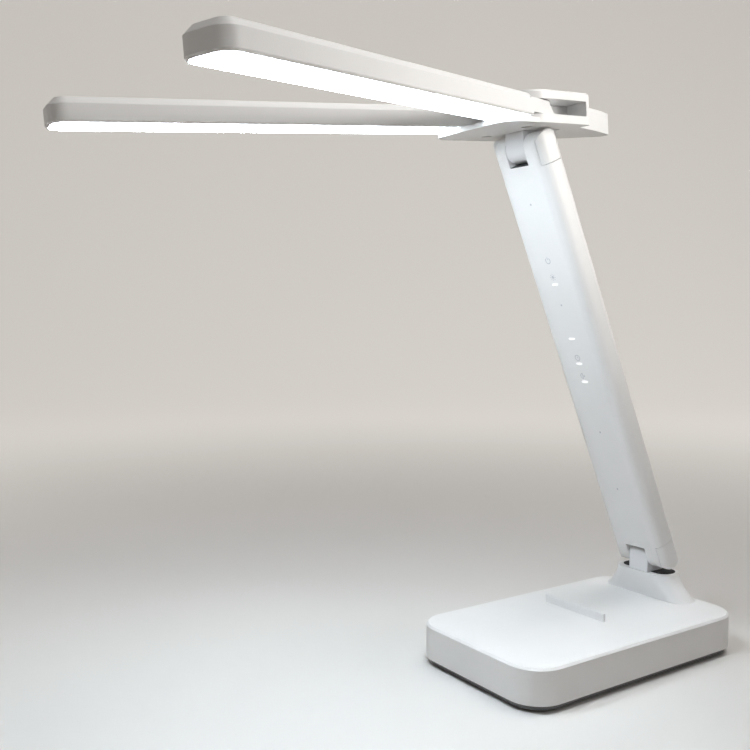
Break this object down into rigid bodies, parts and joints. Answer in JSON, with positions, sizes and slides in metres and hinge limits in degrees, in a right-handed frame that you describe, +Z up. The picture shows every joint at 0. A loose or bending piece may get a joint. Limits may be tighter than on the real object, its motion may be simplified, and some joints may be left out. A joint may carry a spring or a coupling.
{
  "type": "folding desk lamp",
  "caption": "Folding desk lamp: two swinging light bars on a tilting hub and stem, over a weighted base with a phone ledge.",
  "frame": {"origin": "centre of the anti-slip pad's underside, where the lamp stands on the desk", "axes": "+Z up; -Y is the side the stem leans to and the light bars reach over; X runs across the base's short side"},
  "size_m": [0.1435, 0.3304, 0.2846],
  "materials": {
    "shell_white": "fine satin moulded plastic, cool white",
    "bracket_white": "white powder coat over die-cast metal",
    "cover_grey": "textured grey plastic, hidden under the base",
    "pad_rubber": "matte anti-slip rubber sheet",
    "screw_steel": "zinc-plated steel",
    "weight_steel": "plain steel slab",
    "battery_wrap": "foil pouch with a shrink wrap",
    "circuit_board": "green solder mask",
    "socket_metal": "plated stamped shell",
    "washer_nylon": "natural nylon",
    "sleeve_brass": "turned brass",
    "led_board_white": "white solder mask on aluminium",
    "led_phosphor": "lit LED packages",
    "lens_lit": "opal diffuser, lit"
  },
  "bodies": {
    "base": {"anti_slip_pad": "pad_rubber", "base_bottom_cover": "cover_grey", "base_top_cover": "shell_white", "base_screws": "screw_steel", "counterweight": "weight_steel", "weight_screws": "screw_steel", "battery": "battery_wrap", "charge_board": "circuit_board", "usb_socket": "socket_metal", "lower_hinge_bracket": "bracket_white", "bracket_screws": "screw_steel"},
    "stem": {"stem_front_cover": "shell_white", "stem_back_cover": "shell_white", "stem_screws": "screw_steel", "touch_board": "circuit_board", "hinge_cap_lower_left": "shell_white", "hinge_cap_lower_right": "shell_white", "hinge_cap_upper_left": "shell_white", "hinge_cap_upper_right": "shell_white", "lower_hinge_pin": "screw_steel", "upper_hinge_pin": "screw_steel", "hinge_nuts": "screw_steel", "hinge_washers": "washer_nylon"},
    "hub": {"head_hinge_bracket": "bracket_white", "head_bracket_screws": "screw_steel", "hub_lower_shell": "shell_white", "hub_top_plate": "shell_white", "hub_tail_lid": "shell_white", "hub_screws": "screw_steel", "driver_board": "circuit_board", "pivot_sleeves": "sleeve_brass", "pivot_screws": "screw_steel", "pivot_washers": "washer_nylon"},
    "right_arm": {"right_arm_housing": "shell_white", "right_diffuser": "lens_lit", "right_led_board": "led_board_white", "right_leds": "led_phosphor"},
    "left_arm": {"left_arm_housing": "shell_white", "left_diffuser": "lens_lit", "left_led_board": "led_board_white", "left_leds": "led_phosphor"}
  },
  "joints": [
    {"name": "stem_tilt", "type": "hinge", "parent": "base", "child": "stem", "pos_m": [-0.0075, 0.0608, 0.0452], "axis": [1, 0, 0], "range_deg": [-23.5, 63]},
    {"name": "head_tilt", "type": "hinge", "parent": "stem", "child": "hub", "pos_m": [-0.0075, -0.03469, 0.26058], "axis": [1, 0, 0], "range_deg": [-68, 109.5]},
    {"name": "right_arm_swing", "type": "hinge", "parent": "hub", "child": "right_arm", "pos_m": [0.0068, -0.04741, 0.27466], "axis": [0, 0.0767, -0.9971], "range_deg": [-69.9, 20.1]},
    {"name": "left_arm_swing", "type": "hinge", "parent": "hub", "child": "left_arm", "pos_m": [-0.0218, -0.04741, 0.27466], "axis": [0, -0.0767, 0.9971], "range_deg": [-83.3, 6.7]}
  ]
}
